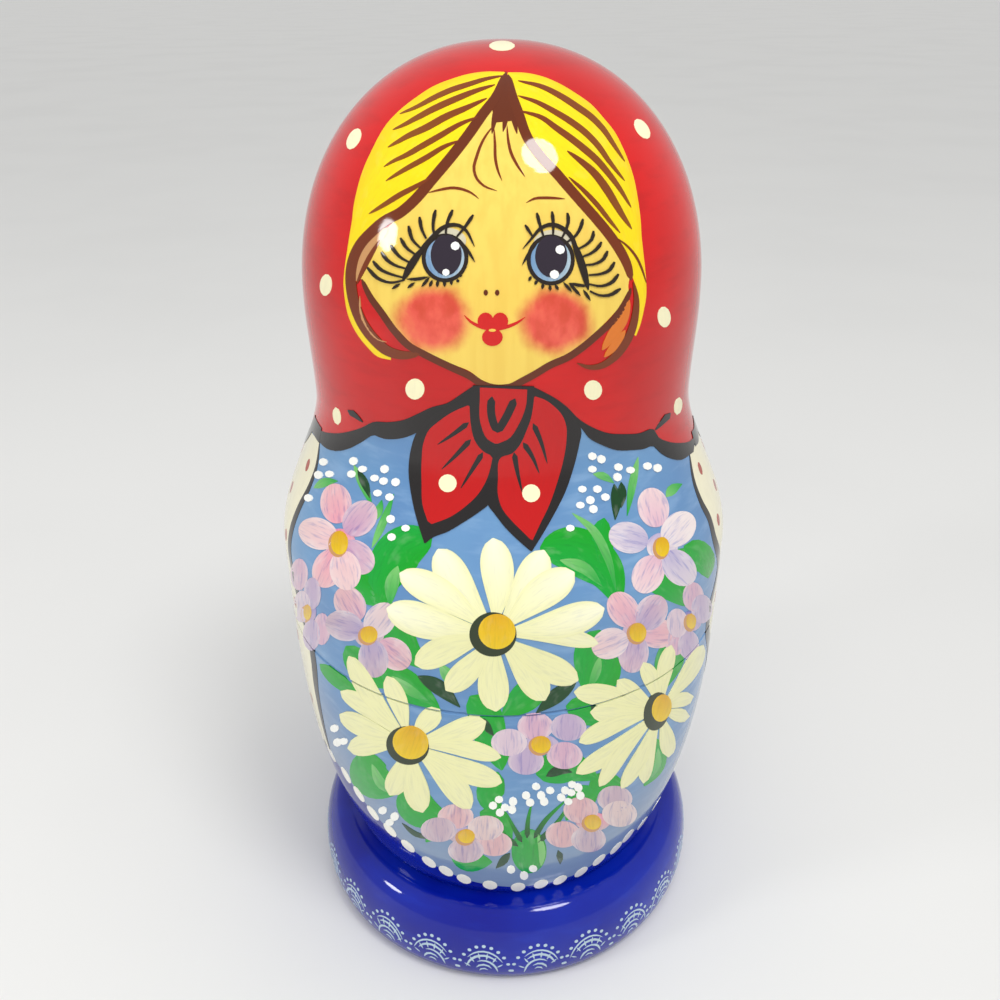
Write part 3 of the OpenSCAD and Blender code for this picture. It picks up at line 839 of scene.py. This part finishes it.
def paintPink(board, form):
    centre, shade = np.array(form["centre"], float), pinkForm["shadeGrow"]
    across, along = form["size"]
    base, root = pots[form["tone"]], pots[form["root"]]
    heart = discShape(centre, (across, along * pinkForm["heart"]))
    board.lay(heart, wash(root, base), layer=2.4, streak=pinkForm["heartStreak"])
    for j, (x, y) in enumerate(form["petals"]):
        away = np.array((x, y)) - centre
        tilt = math.degrees(math.atan2(-away[0], away[1])) if form["turned"] else 0.0
        tint = pots[pinkForm["tints"][j % 3]]
        tone = base * (1 - pinkForm["tint"]) + tint * pinkForm["tint"]
        start = (tint + root) / 2 if form["turned"] else tone
        start = start * pinkForm["root"] + tone * (1 - pinkForm["root"])
        petal = discShape(centre + away * pinkForm["reach"], form["size"], tilt)
        layer = pinkForm["layer"] + pinkForm["overlap"] * (j % 3)
        colour = wash(start, tone, pots["palePink"], pinkForm["rim"])
        board.lay(petal, colour, layer, streak=pinkForm["streak"])
    board.dot(centre + pinkForm["shadeShift"], np.array(form["yolk"]) + shade, pots["tan"], layer=3.8)
    yolk = wash(pots["yolkDeep"], pots["yolk"])
    board.lay(discShape(centre, form["yolk"]), yolk, layer=4.4, streak=pinkForm["yolkStreak"])


def paintFlowers(board):
    form = flowerForm
    for stroke in form["broad"]:
        board.lay(strokeShape(stroke, "leaf"), sideWash(pots["leaf"], pots["leafMid"]), layer=1, streak=0.2)
    for stroke in form["light"]:
        blade = wash(pots["leafLight"], pots["leafMid"])
        board.lay(strokeShape(stroke, "blade"), blade, layer=1.6, streak=0.3)
    for stroke in form["dark"]:
        board.lay(strokeShape(stroke, "blade"), wash(pots["leafDark"]), layer=2, streak=0.3)
    board.lay(discShape(*form["trunk"]), sideWash(pots["leafMid"], pots["leaf"]), layer=2, streak=0.4)
    board.line(form["trunkLight"], pots["leafLight"], layer=2.4, brush="taper")
    for points in form["stems"]:
        stem = strokeShape((form["stemWidth"], points), "tail")
        board.lay(stem, wash(pots["leafDark"], pots["leaf"]), layer=2.4)
    for pink in form["pinks"]:
        paintPink(board, pink)
    for name in ("leftDaisy", "rightDaisy", "mainDaisy"):
        paintDaisy(board, form[name])
    wide, tall = form["dotRadii"]
    for i, spot in enumerate(form["dots"]):
        board.dot(spot, (wide, tall + form["dotVary"] * (i % 3)), pots["white"], layer=7)


# dots along the skirt's edge
ringForm = dict(backDots=32, radii=(1.8, 1.6), frontRadii=(1.55, 2.1), low=2.5)


def paintRing(board):
    form = ringForm
    low = waist / mm + form["low"]
    for arc, height in wrapPlace(skirtForm["dots"]):
        board.dot((arc, max(height, low)), form["frontRadii"], pots["ringDot"], layer=2, canvas=wrapCanvas)
    start, end = skirtFront[:, 0].max(), skirtFront[:, 0].min() + girth
    for arc in np.linspace(start, end, form["backDots"] + 2)[1:-1]:
        place = (arc, max(skirtHeight(arc), low))
        board.dot(place, form["radii"], pots["ringDot"], layer=2, canvas=wrapCanvas)


# lace on the plinth
laceForm = dict(count=24, first=-6.5, low=3.0, high=10.6, thread=0.4, streak=0.5, arcPoints=7,
                slip=(2.7, 4.1), cut=(0.55, 0.35),  # so that no two threads start and end alike
                arcs=[(0.84, 0.9), (0.7, 1.3), (0.52, 1.1), (0.36, 1.2), (0.2, 1.0)],
                dotSize=0.36, dotReach=0.49, dotTurns=(8, 172, 11),
                rayThread=0.32, rayEnds=(0.56, 0.8), rayTurns=(30, 55, 80, 105, 130, 155))


def paintLace(board):
    form = laceForm
    span, rise = girth / form["count"], form["high"] - form["low"]
    for i in range(form["count"]):
        middle = math.radians(form["first"]) * wrapRadius + i * span
        for j, (share, width) in enumerate(form["arcs"]):
            slip = 0.5 + 0.5 * math.sin(form["slip"][0] * i + form["slip"][1] * j)
            ends = (-1 + form["cut"][0] * slip, 1 - form["cut"][1] * (1 - slip))
            turns = np.linspace(*ends, form["arcPoints"])
            heights = form["low"] + rise * share * np.sqrt(1 - turns * turns)
            arc = np.stack((middle + turns * span / 2 * share, heights), axis=1)
            thread = strokeShape((form["thread"] * width, arc), "taper")
            board.lay(thread, wash(pots["lace"]), layer=1, canvas=wrapCanvas, streak=form["streak"])
        for turn in np.radians(np.linspace(*form["dotTurns"])):
            place = (middle + span * form["dotReach"] * math.cos(turn), form["low"] + rise * math.sin(turn))
            board.dot(place, (form["dotSize"], form["dotSize"]), pots["lace"], layer=1, canvas=wrapCanvas)
        for turn in np.radians(form["rayTurns"]):
            away = np.array((span / 2 * math.cos(turn), rise * math.sin(turn)))
            ray = [np.array((middle, form["low"])) + away * end for end in form["rayEnds"]]
            board.line((form["rayThread"], ray), pots["lace"], layer=1, brush="taper", canvas=wrapCanvas)


def paintBoards(cell, jobs):
    boards = {}
    for name, painters in jobs.items():
        boards[name] = Board(cell)
        for painter in painters:
            painter(boards[name])
    return boards


outerBoards = paintBoards(boardForm["cell"], dict(
    face=[paintHair, paintFace], scarf=[paintScarf], flowers=[paintSleeves, paintFlowers], ring=[paintRing],
    lace=[paintLace]))
nestedBoards = paintBoards(boardForm["nestedCell"], dict(
    all=[paintSleeves, paintFlowers, paintRing, paintScarf, paintHair, paintFace]))
print("motifs painted")


# finishes
class Mark:  # a node socket with arithmetic
    def __init__(self, tree, socket=None):
        self.tree, self.socket = tree, socket

    def make(self, kind, settings=(), values=(), out=0):
        node = self.tree.nodes.new(kind)
        for name, value in dict(settings).items():
            setattr(node, name, value)
        for name, value in dict(values).items():
            socket = node.inputs[name]
            if isinstance(value, Mark):
                self.tree.links.new(value.socket, socket)
            elif isinstance(value, np.ndarray) and socket.type == "RGBA":
                socket.default_value = (*value, 1.0)
            else:
                socket.default_value = value
        return Mark(self.tree, node.outputs[out])

    def maths(self, operation, first, second):
        return self.make("ShaderNodeMath", dict(operation=operation), {0: first, 1: second})

    def __add__(self, other):
        return self.maths("ADD", self, other)

    def __sub__(self, other):
        return self.maths("SUBTRACT", self, other)

    def __rsub__(self, other):
        return self.maths("SUBTRACT", other, self)

    def __mul__(self, other):
        return self.maths("MULTIPLY", self, other)

    __radd__ = __add__
    __rmul__ = __mul__

    def ramp(self, low, high):
        values = {"Value": self, "From Min": low, "From Max": high}
        return self.make("ShaderNodeMapRange", dict(interpolation_type="SMOOTHSTEP"), values)

    def mix(self, share, first, second, kind="MIX"):
        values = {0: share, 6: first, 7: second}
        return self.make("ShaderNodeMix", dict(data_type="RGBA", blend_type=kind), values, out=2)

    def blend(self, first, second):  # self is the share of the second colour
        return self.mix(self, first, second)

    def tinted(self, colour):
        return self.mix(1.0, self, colour, "MULTIPLY")

    def stretch(self, sizes):
        return self.make("ShaderNodeVectorMath", dict(operation="MULTIPLY"), {0: self, 1: sizes})

    def noise(self, scale, detail=3.0):
        return self.make("ShaderNodeTexNoise", values={"Vector": self, "Scale": scale, "Detail": detail})

    def attribute(self, name, out):
        return self.make("ShaderNodeAttribute", dict(attribute_name=name), out=out)

    def place(self):
        return self.make("ShaderNodeTexCoord", out=3)

    def bump(self, height, distance, strength):
        return self.make("ShaderNodeBump", values=dict(Height=height, Distance=distance, Strength=strength))


def finishMaterial(colour, roughness, normal, tree):
    shader = tree.nodes.new("ShaderNodeBsdfPrincipled")
    for socket, value in (("Base Color", colour), ("Roughness", roughness), ("Normal", normal)):
        tree.links.new(value.socket, shader.inputs[socket])
    output = tree.nodes.new("ShaderNodeOutputMaterial")
    tree.links.new(shader.outputs[0], output.inputs[0])


def newTree(name):
    material = bpy.data.materials.new(name)
    material.use_nodes = True
    material.node_tree.nodes.clear()
    return material, material.node_tree


lacquerForm = dict(gloss=0.045, uneven=0.06, dull=(0.35, 0.75), sag=(140.0, 2.0), peel=(520.0, 2.0),
                   peelShare=0.4, ripple=0.00005, strength=0.5)


def lacquer(place, relief):  # roughness and surface of a hand-brushed coat over a painted relief
    form = lacquerForm
    sag, peel = place.noise(*form["sag"]), place.noise(*form["peel"])
    normal = place.bump(sag + peel * form["peelShare"] + relief, form["ripple"], form["strength"])
    return form["gloss"] + form["uneven"] * sag.ramp(*form["dull"]), normal


strokeForm = dict(hairs=(2.4, 0.3, 1.0), patches=(0.5, 0.3, 1.0), dark=(0.48, 0.74), light=(0.5, 0.78),
                  lightShare=0.55, white=0.6, worn=(0.3, 0.8), wornShare=0.12, relief=0.08,
                  darkTint=np.array((0.42, 0.48, 0.86)), wornTint=np.array((0.62, 0.62, 0.66)))


def brushPaint():
    form = strokeForm
    material, tree = newTree("brushPaint")
    root = Mark(tree)
    tone, streaky, stroke = root.attribute("tone", 0), root.attribute("tone", 3), root.attribute("stroke", 1)
    hairs = stroke.stretch(form["hairs"]).noise(1.0)
    patches = stroke.stretch(form["patches"]).noise(1.0, 2.0)
    dark = hairs.ramp(*form["dark"]) * streaky
    light = patches.ramp(*form["light"]) * streaky * form["lightShare"]
    colour = dark.blend(tone, tone.tinted(form["darkTint"]))
    colour = light.blend(colour, root.mix(form["white"], tone, pots["white"]))
    colour = (form["wornShare"] * hairs.ramp(*form["worn"])).blend(colour, colour.tinted(form["wornTint"]))
    finishMaterial(colour, *lacquer(root.place(), form["relief"] * hairs), tree)
    return material


woodForm = dict(along=(1.0, 1.0, 0.05), grain=(650.0, 4.0), grainRamp=(0.35, 0.7), grainShare=0.6,
                cloud=(70.0, 2.0), warm=(0.4, 0.75), warmShare=0.4, dab=(1.0, 1.0, 0.7), daub=(330.0, 5.0),
                ragged=0.9, blush=(0.1, 1.0), blushShare=0.9, deep=(0.35, 0.65), relief=0.08)


def faceWood():
    form = woodForm
    material, tree = newTree("faceWood")
    root = Mark(tree)
    blush, place = root.attribute("tone", 3), root.place()
    grain = place.stretch(form["along"]).noise(*form["grain"])
    cloud = place.noise(*form["cloud"])
    wood = (form["grainShare"] * grain.ramp(*form["grainRamp"])).blend(pots["faceWood"], pots["faceGrain"])
    wood = (form["warmShare"] * cloud.ramp(*form["warm"])).blend(wood, pots["faceWarm"])
    daub = place.stretch(form["dab"]).noise(*form["daub"])
    share = (blush + form["ragged"] * daub - form["ragged"] / 2).ramp(*form["blush"]) * form["blushShare"]
    colour = share.blend(wood, daub.ramp(*form["deep"]).blend(pots["blush"], pots["blushDeep"]))
    finishMaterial(colour, *lacquer(place, form["relief"] * grain), tree)
    return material


coatForm = dict(cloud=(38.0, 3.0), level=(1.0, 1.0, 4.0), brush=(120.0, 4.0), brushed=(0.45, 0.75),
                cloudy=(0.35, 0.7), scarfDeep=0.25, dress=(0.3, 0.7), dressLight=0.55, footShade=0.8,
                fade=(3.0, 34.0), plinth=(0.5, 0.75), plinthShares=(0.7, 0.3), edge=(-0.06, 0.06), relief=0.3)


def shellPaint():
    form = coatForm
    material, tree = newTree("shellPaint")
    root = Mark(tree)
    hem, foot, place = root.attribute("hem", 2), root.attribute("foot", 2), root.place()
    cloud = place.noise(*form["cloud"])
    brush = place.stretch(form["level"]).noise(*form["brush"])
    cloudy, brushed = cloud.ramp(*form["cloudy"]), brush.ramp(*form["brushed"])
    scarf = cloudy.blend(pots["scarf"], pots["scarfLight"])
    scarf = (form["scarfDeep"] * brushed).blend(scarf, pots["scarfDeep"])
    dress = cloud.ramp(*form["dress"]).blend(pots["dressDeep"], pots["dress"])
    dress = (form["dressLight"] * brushed).blend(dress, pots["dressLight"])
    # painted shading: the dress turns greyer towards the dotted skirt edge and fades back to blue about 34 mm
    # above it
    dress = (form["footShade"] - form["footShade"] * foot.ramp(*form["fade"])).blend(dress, pots["dressShadeGrey"])
    cloudShare, brushShare = form["plinthShares"]
    pale = cloudy * cloudShare + brush.ramp(*form["plinth"]) * brushShare
    plinth = pale.blend(pots["plinth"], pots["plinthLight"])
    colour = hem.ramp(*form["edge"]).blend(foot.ramp(*form["edge"]).blend(plinth, dress), scarf)
    finishMaterial(colour, *lacquer(place, form["relief"] * brush), tree)
    return material


lindenForm = dict(along=(1.0, 1.0, 0.06), grain=(420.0, 5.0), grainRamp=(0.3, 0.72), cloud=(45.0, 2.0),
                  warm=(0.4, 0.7), warmShare=0.5, around=(0.06, 0.06, 1.0), lathe=(1900.0, 3.0),
                  grainRise=0.6, depth=0.00012, strength=0.4, rough=0.52, uneven=0.22)


def bareLinden():
    form = lindenForm
    material, tree = newTree("bareLinden")
    place = Mark(tree).place()
    grain = place.stretch(form["along"]).noise(*form["grain"])
    cloud = place.noise(*form["cloud"])
    lathe = place.stretch(form["around"]).noise(*form["lathe"])
    colour = grain.ramp(*form["grainRamp"]).blend(pots["linden"], pots["lindenGrain"])
    colour = (form["warmShare"] * cloud.ramp(*form["warm"])).blend(colour, pots["lindenWarm"])
    normal = place.bump(lathe + grain * form["grainRise"], form["depth"], form["strength"])
    finishMaterial(colour, form["rough"] + form["uneven"] * grain, normal, tree)
    return material


finishes = dict(brush=brushPaint(), face=faceWood(), shell=shellPaint(), linden=bareLinden())
print("finishes mixed")


# pieces
def addPiece(bm, name, body, materials, replaced=None):
    mesh = bpy.data.meshes.new(name)
    bm.to_mesh(mesh)
    bm.free()
    for material in materials:
        mesh.materials.append(finishes[material])
    mesh.shade_smooth()
    mesh.set_sharp_from_angle(angle=math.radians(shellForm["sharpAngle"]))
    piece = bpy.data.objects.new(name, mesh)
    bpy.context.collection.objects.link(piece)
    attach(piece, body)
    if replaced:
        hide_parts(replaced)


def turnShell(node, steps, scale, rise):
    points = outlines[node]
    first, last = paintedSpan(node)
    bm = bmesh.new()
    painted = bm.verts.layers.float.new("painted")
    hem, foot = bm.verts.layers.float.new("hem"), bm.verts.layers.float.new("foot")
    verts = [bm.verts.new((r, 0, z)) for r, z in points]
    for i, vert in enumerate(verts):
        vert[painted] = float(first <= i <= last)
    edges = [bm.edges.new(pair) for pair in zip(verts, verts[1:])]
    bmesh.ops.spin(bm, geom=verts + edges, cent=(0, 0, 0), axis=(0, 0, 1), angle=2 * math.pi, steps=steps,
                   use_merge=True)
    bmesh.ops.remove_doubles(bm, verts=bm.verts, dist=1e-6)
    bmesh.ops.recalc_face_normals(bm, faces=bm.faces)
    place = np.array([vert.co[:] for vert in bm.verts])
    arc = np.arctan2(place[:, 0], -place[:, 1]) * wrapRadius
    height = ((place[:, 2] - rise) / scale + waist) / mm
    above, over = height - hemHeight(arc), height - skirtHeight(arc)
    for vert, a, o in zip(bm.verts, above, over):
        vert[hem], vert[foot] = a, o
    for face in bm.faces:
        face.material_index = 0 if all(vert[painted] > 0.5 for vert in face.verts) else 1
    return bm


def cutBoard(board, keep, scale=1.0, rise=None):  # the strokes of one half, sunk a little into the wood
    bm = board.bm.copy()
    if keep != "whole":
        gap = shellForm["bareEdge"] * mm
        level = joints["outer"] + (gap if keep == "top" else -gap)
        bmesh.ops.bisect_plane(bm, geom=bm.verts[:] + bm.edges[:] + bm.faces[:], dist=1e-7,
                               plane_co=(0, 0, level), plane_no=(0, 0, 1), clear_inner=keep == "top",
                               clear_outer=keep == "base")
    place = np.array([vert.co[:] for vert in bm.verts])
    sunk = place - skinNormal(place) * boardForm["thickness"] * mm
    bm.verts.index_update()
    made = bmesh.ops.extrude_face_region(bm, geom=bm.faces[:], use_keep_orig=True)["geom"]
    near = {tuple(spot): i for i, spot in enumerate(place.tolist())}
    for vert in made:
        if isinstance(vert, bmesh.types.BMVert):
            vert.co = sunk[near[tuple(vert.co)]]
    bmesh.ops.recalc_face_normals(bm, faces=bm.faces)
    if rise is not None:
        bmesh.ops.translate(bm, verts=bm.verts, vec=(0, 0, -waist))
        bmesh.ops.scale(bm, verts=bm.verts, vec=(scale, scale, scale))
        bmesh.ops.translate(bm, verts=bm.verts, vec=(0, 0, rise))
    return bm


shellKinds, paintKinds = ("shell", "linden"), ("brush", "face")
outerPaint = dict(outerFacePaint=("face", "whole", "top"), outerScarfPaint=("scarf", "whole", "top"),
                  outerTopFlowers=("flowers", "top", "top"), outerBaseFlowers=("flowers", "base", "base"),
                  outerDotRing=("ring", "whole", "base"), outerPlinthLace=("lace", "whole", "base"))
for half in ("base", "top"):
    node = "outer_" + half
    shell = turnShell(node, shellForm["outerSteps"], 1.0, waist)
    addPiece(shell, "outer" + half.capitalize(), node, shellKinds, node)
for name, (motif, keep, half) in outerPaint.items():
    addPiece(cutBoard(outerBoards[motif], keep), name, "outer_" + half, paintKinds)
for doll, halves in (("second", ("base", "top")), ("third", ("base", "top")), ("fourth", ("base", "top")),
                     ("smallest", ("doll",))):
    scale, rise = nestedSize(doll)
    for half in halves:
        node, name = doll + "_" + half, doll + half.capitalize()
        shell = turnShell(node, shellForm["nestedSteps"], scale, rise)
        addPiece(shell, name, node, shellKinds, node)
        strokes = cutBoard(nestedBoards["all"], "whole" if half == "doll" else half, scale, rise)
        addPiece(strokes, name + "Paint", node, paintKinds)
print("pieces built")


# floor, backdrop and lamps
stageForm = dict(half=20.0, colour=paint(230, 230, 228), cloud=(6.0, 3.0), cloudRamp=(0.4, 0.7),
                 cloudShare=0.25, shade=0.9, rough=0.45, uneven=0.1, depth=0.0001, strength=0.05)
roomForm = dict(light=0.3, seen=0.58, aim=(0.0, 0.0, 0.09))
lampForms = [dict(name="browLamp", glint=(540, 155), reach=0.6, side=0.19, watts=1.4),
             dict(name="templeLamp", glint=(388, 235), reach=0.6, side=0.13, watts=0.75),
             dict(name="skyLamp", spot=(0.15, -0.25, 1.2), spread=70.0, watts=1.5, soft=True),
             dict(name="frontLamp", spot=(-0.25, -1.15, 0.6), side=1.2, watts=3.0, soft=True)]


def buildFloor(form):
    bm = bmesh.new()
    bmesh.ops.create_grid(bm, x_segments=2, y_segments=2, size=form["half"])
    mesh = bpy.data.meshes.new("paleFloor")
    bm.to_mesh(mesh)
    bm.free()
    mesh.shade_smooth()
    material, tree = newTree("paleFloor")
    root = Mark(tree)
    cloud = root.place().noise(*form["cloud"])
    share = form["cloudShare"] * cloud.ramp(*form["cloudRamp"])
    colour = share.blend(form["colour"], form["colour"] * form["shade"])
    normal = root.bump(cloud, form["depth"], form["strength"])
    finishMaterial(colour, form["rough"] + form["uneven"] * cloud, normal, tree)
    mesh.materials.append(material)
    floor = bpy.data.objects.new("paleFloor", mesh)
    bpy.context.collection.objects.link(floor)


def aimLamp(form):  # a lamp with a glint stands where the lacquer mirrors it to the camera at that place
    if "glint" in form:
        target = photoCanvas(np.array([form["glint"]], float))[0]
        facing = skinNormal(target[None])[0]
        sight = (lensSpot - target) / np.linalg.norm(lensSpot - target)
        spot = target + (2 * np.dot(facing, sight) * facing - sight) * form["reach"]
    else:
        target, spot = np.array(roomForm["aim"]), np.array(form["spot"])
    light = bpy.data.lights.new(form["name"], "SUN" if "spread" in form else "AREA")
    if "spread" in form:
        light.angle = math.radians(form["spread"])
    else:
        light.shape = "DISK"
        light.size = form["side"]
    light.energy = form["watts"]
    lamp = bpy.data.objects.new(form["name"], light)
    bpy.context.collection.objects.link(lamp)
    lamp.visible_glossy = "soft" not in form
    lamp.location = spot.tolist()
    lamp.rotation_euler = Vector((target - spot).tolist()).to_track_quat("-Z", "Y").to_euler()


def lightRoom(form):  # dimmer as light than as it is seen or mirrored
    world = bpy.data.worlds.new("paleRoom")
    bpy.context.scene.world = world
    world.use_nodes = True
    tree = world.node_tree
    tree.nodes.clear()
    mix = tree.nodes.new("ShaderNodeMixShader")
    kinds = ("Is Camera Ray", "Is Glossy Ray", "Is Transmission Ray")
    camera, glossy, through = [Mark(tree).make("ShaderNodeLightPath", out=kind) for kind in kinds]
    tree.links.new((camera + glossy + through).socket, mix.inputs[0])
    for i, level in enumerate((form["light"], form["seen"])):
        glow = tree.nodes.new("ShaderNodeBackground")
        glow.inputs["Strength"].default_value = level
        glow.inputs["Color"].default_value = (1.0, 1.0, 1.0, 1.0)
        tree.links.new(glow.outputs[0], mix.inputs[1 + i])
    tree.links.new(mix.outputs[0], tree.nodes.new("ShaderNodeOutputWorld").inputs[0])


buildFloor(stageForm)
for lampForm in lampForms:
    aimLamp(lampForm)
lightRoom(roomForm)
bpy.context.scene.view_settings.view_transform = "Standard"
print("stage lit")
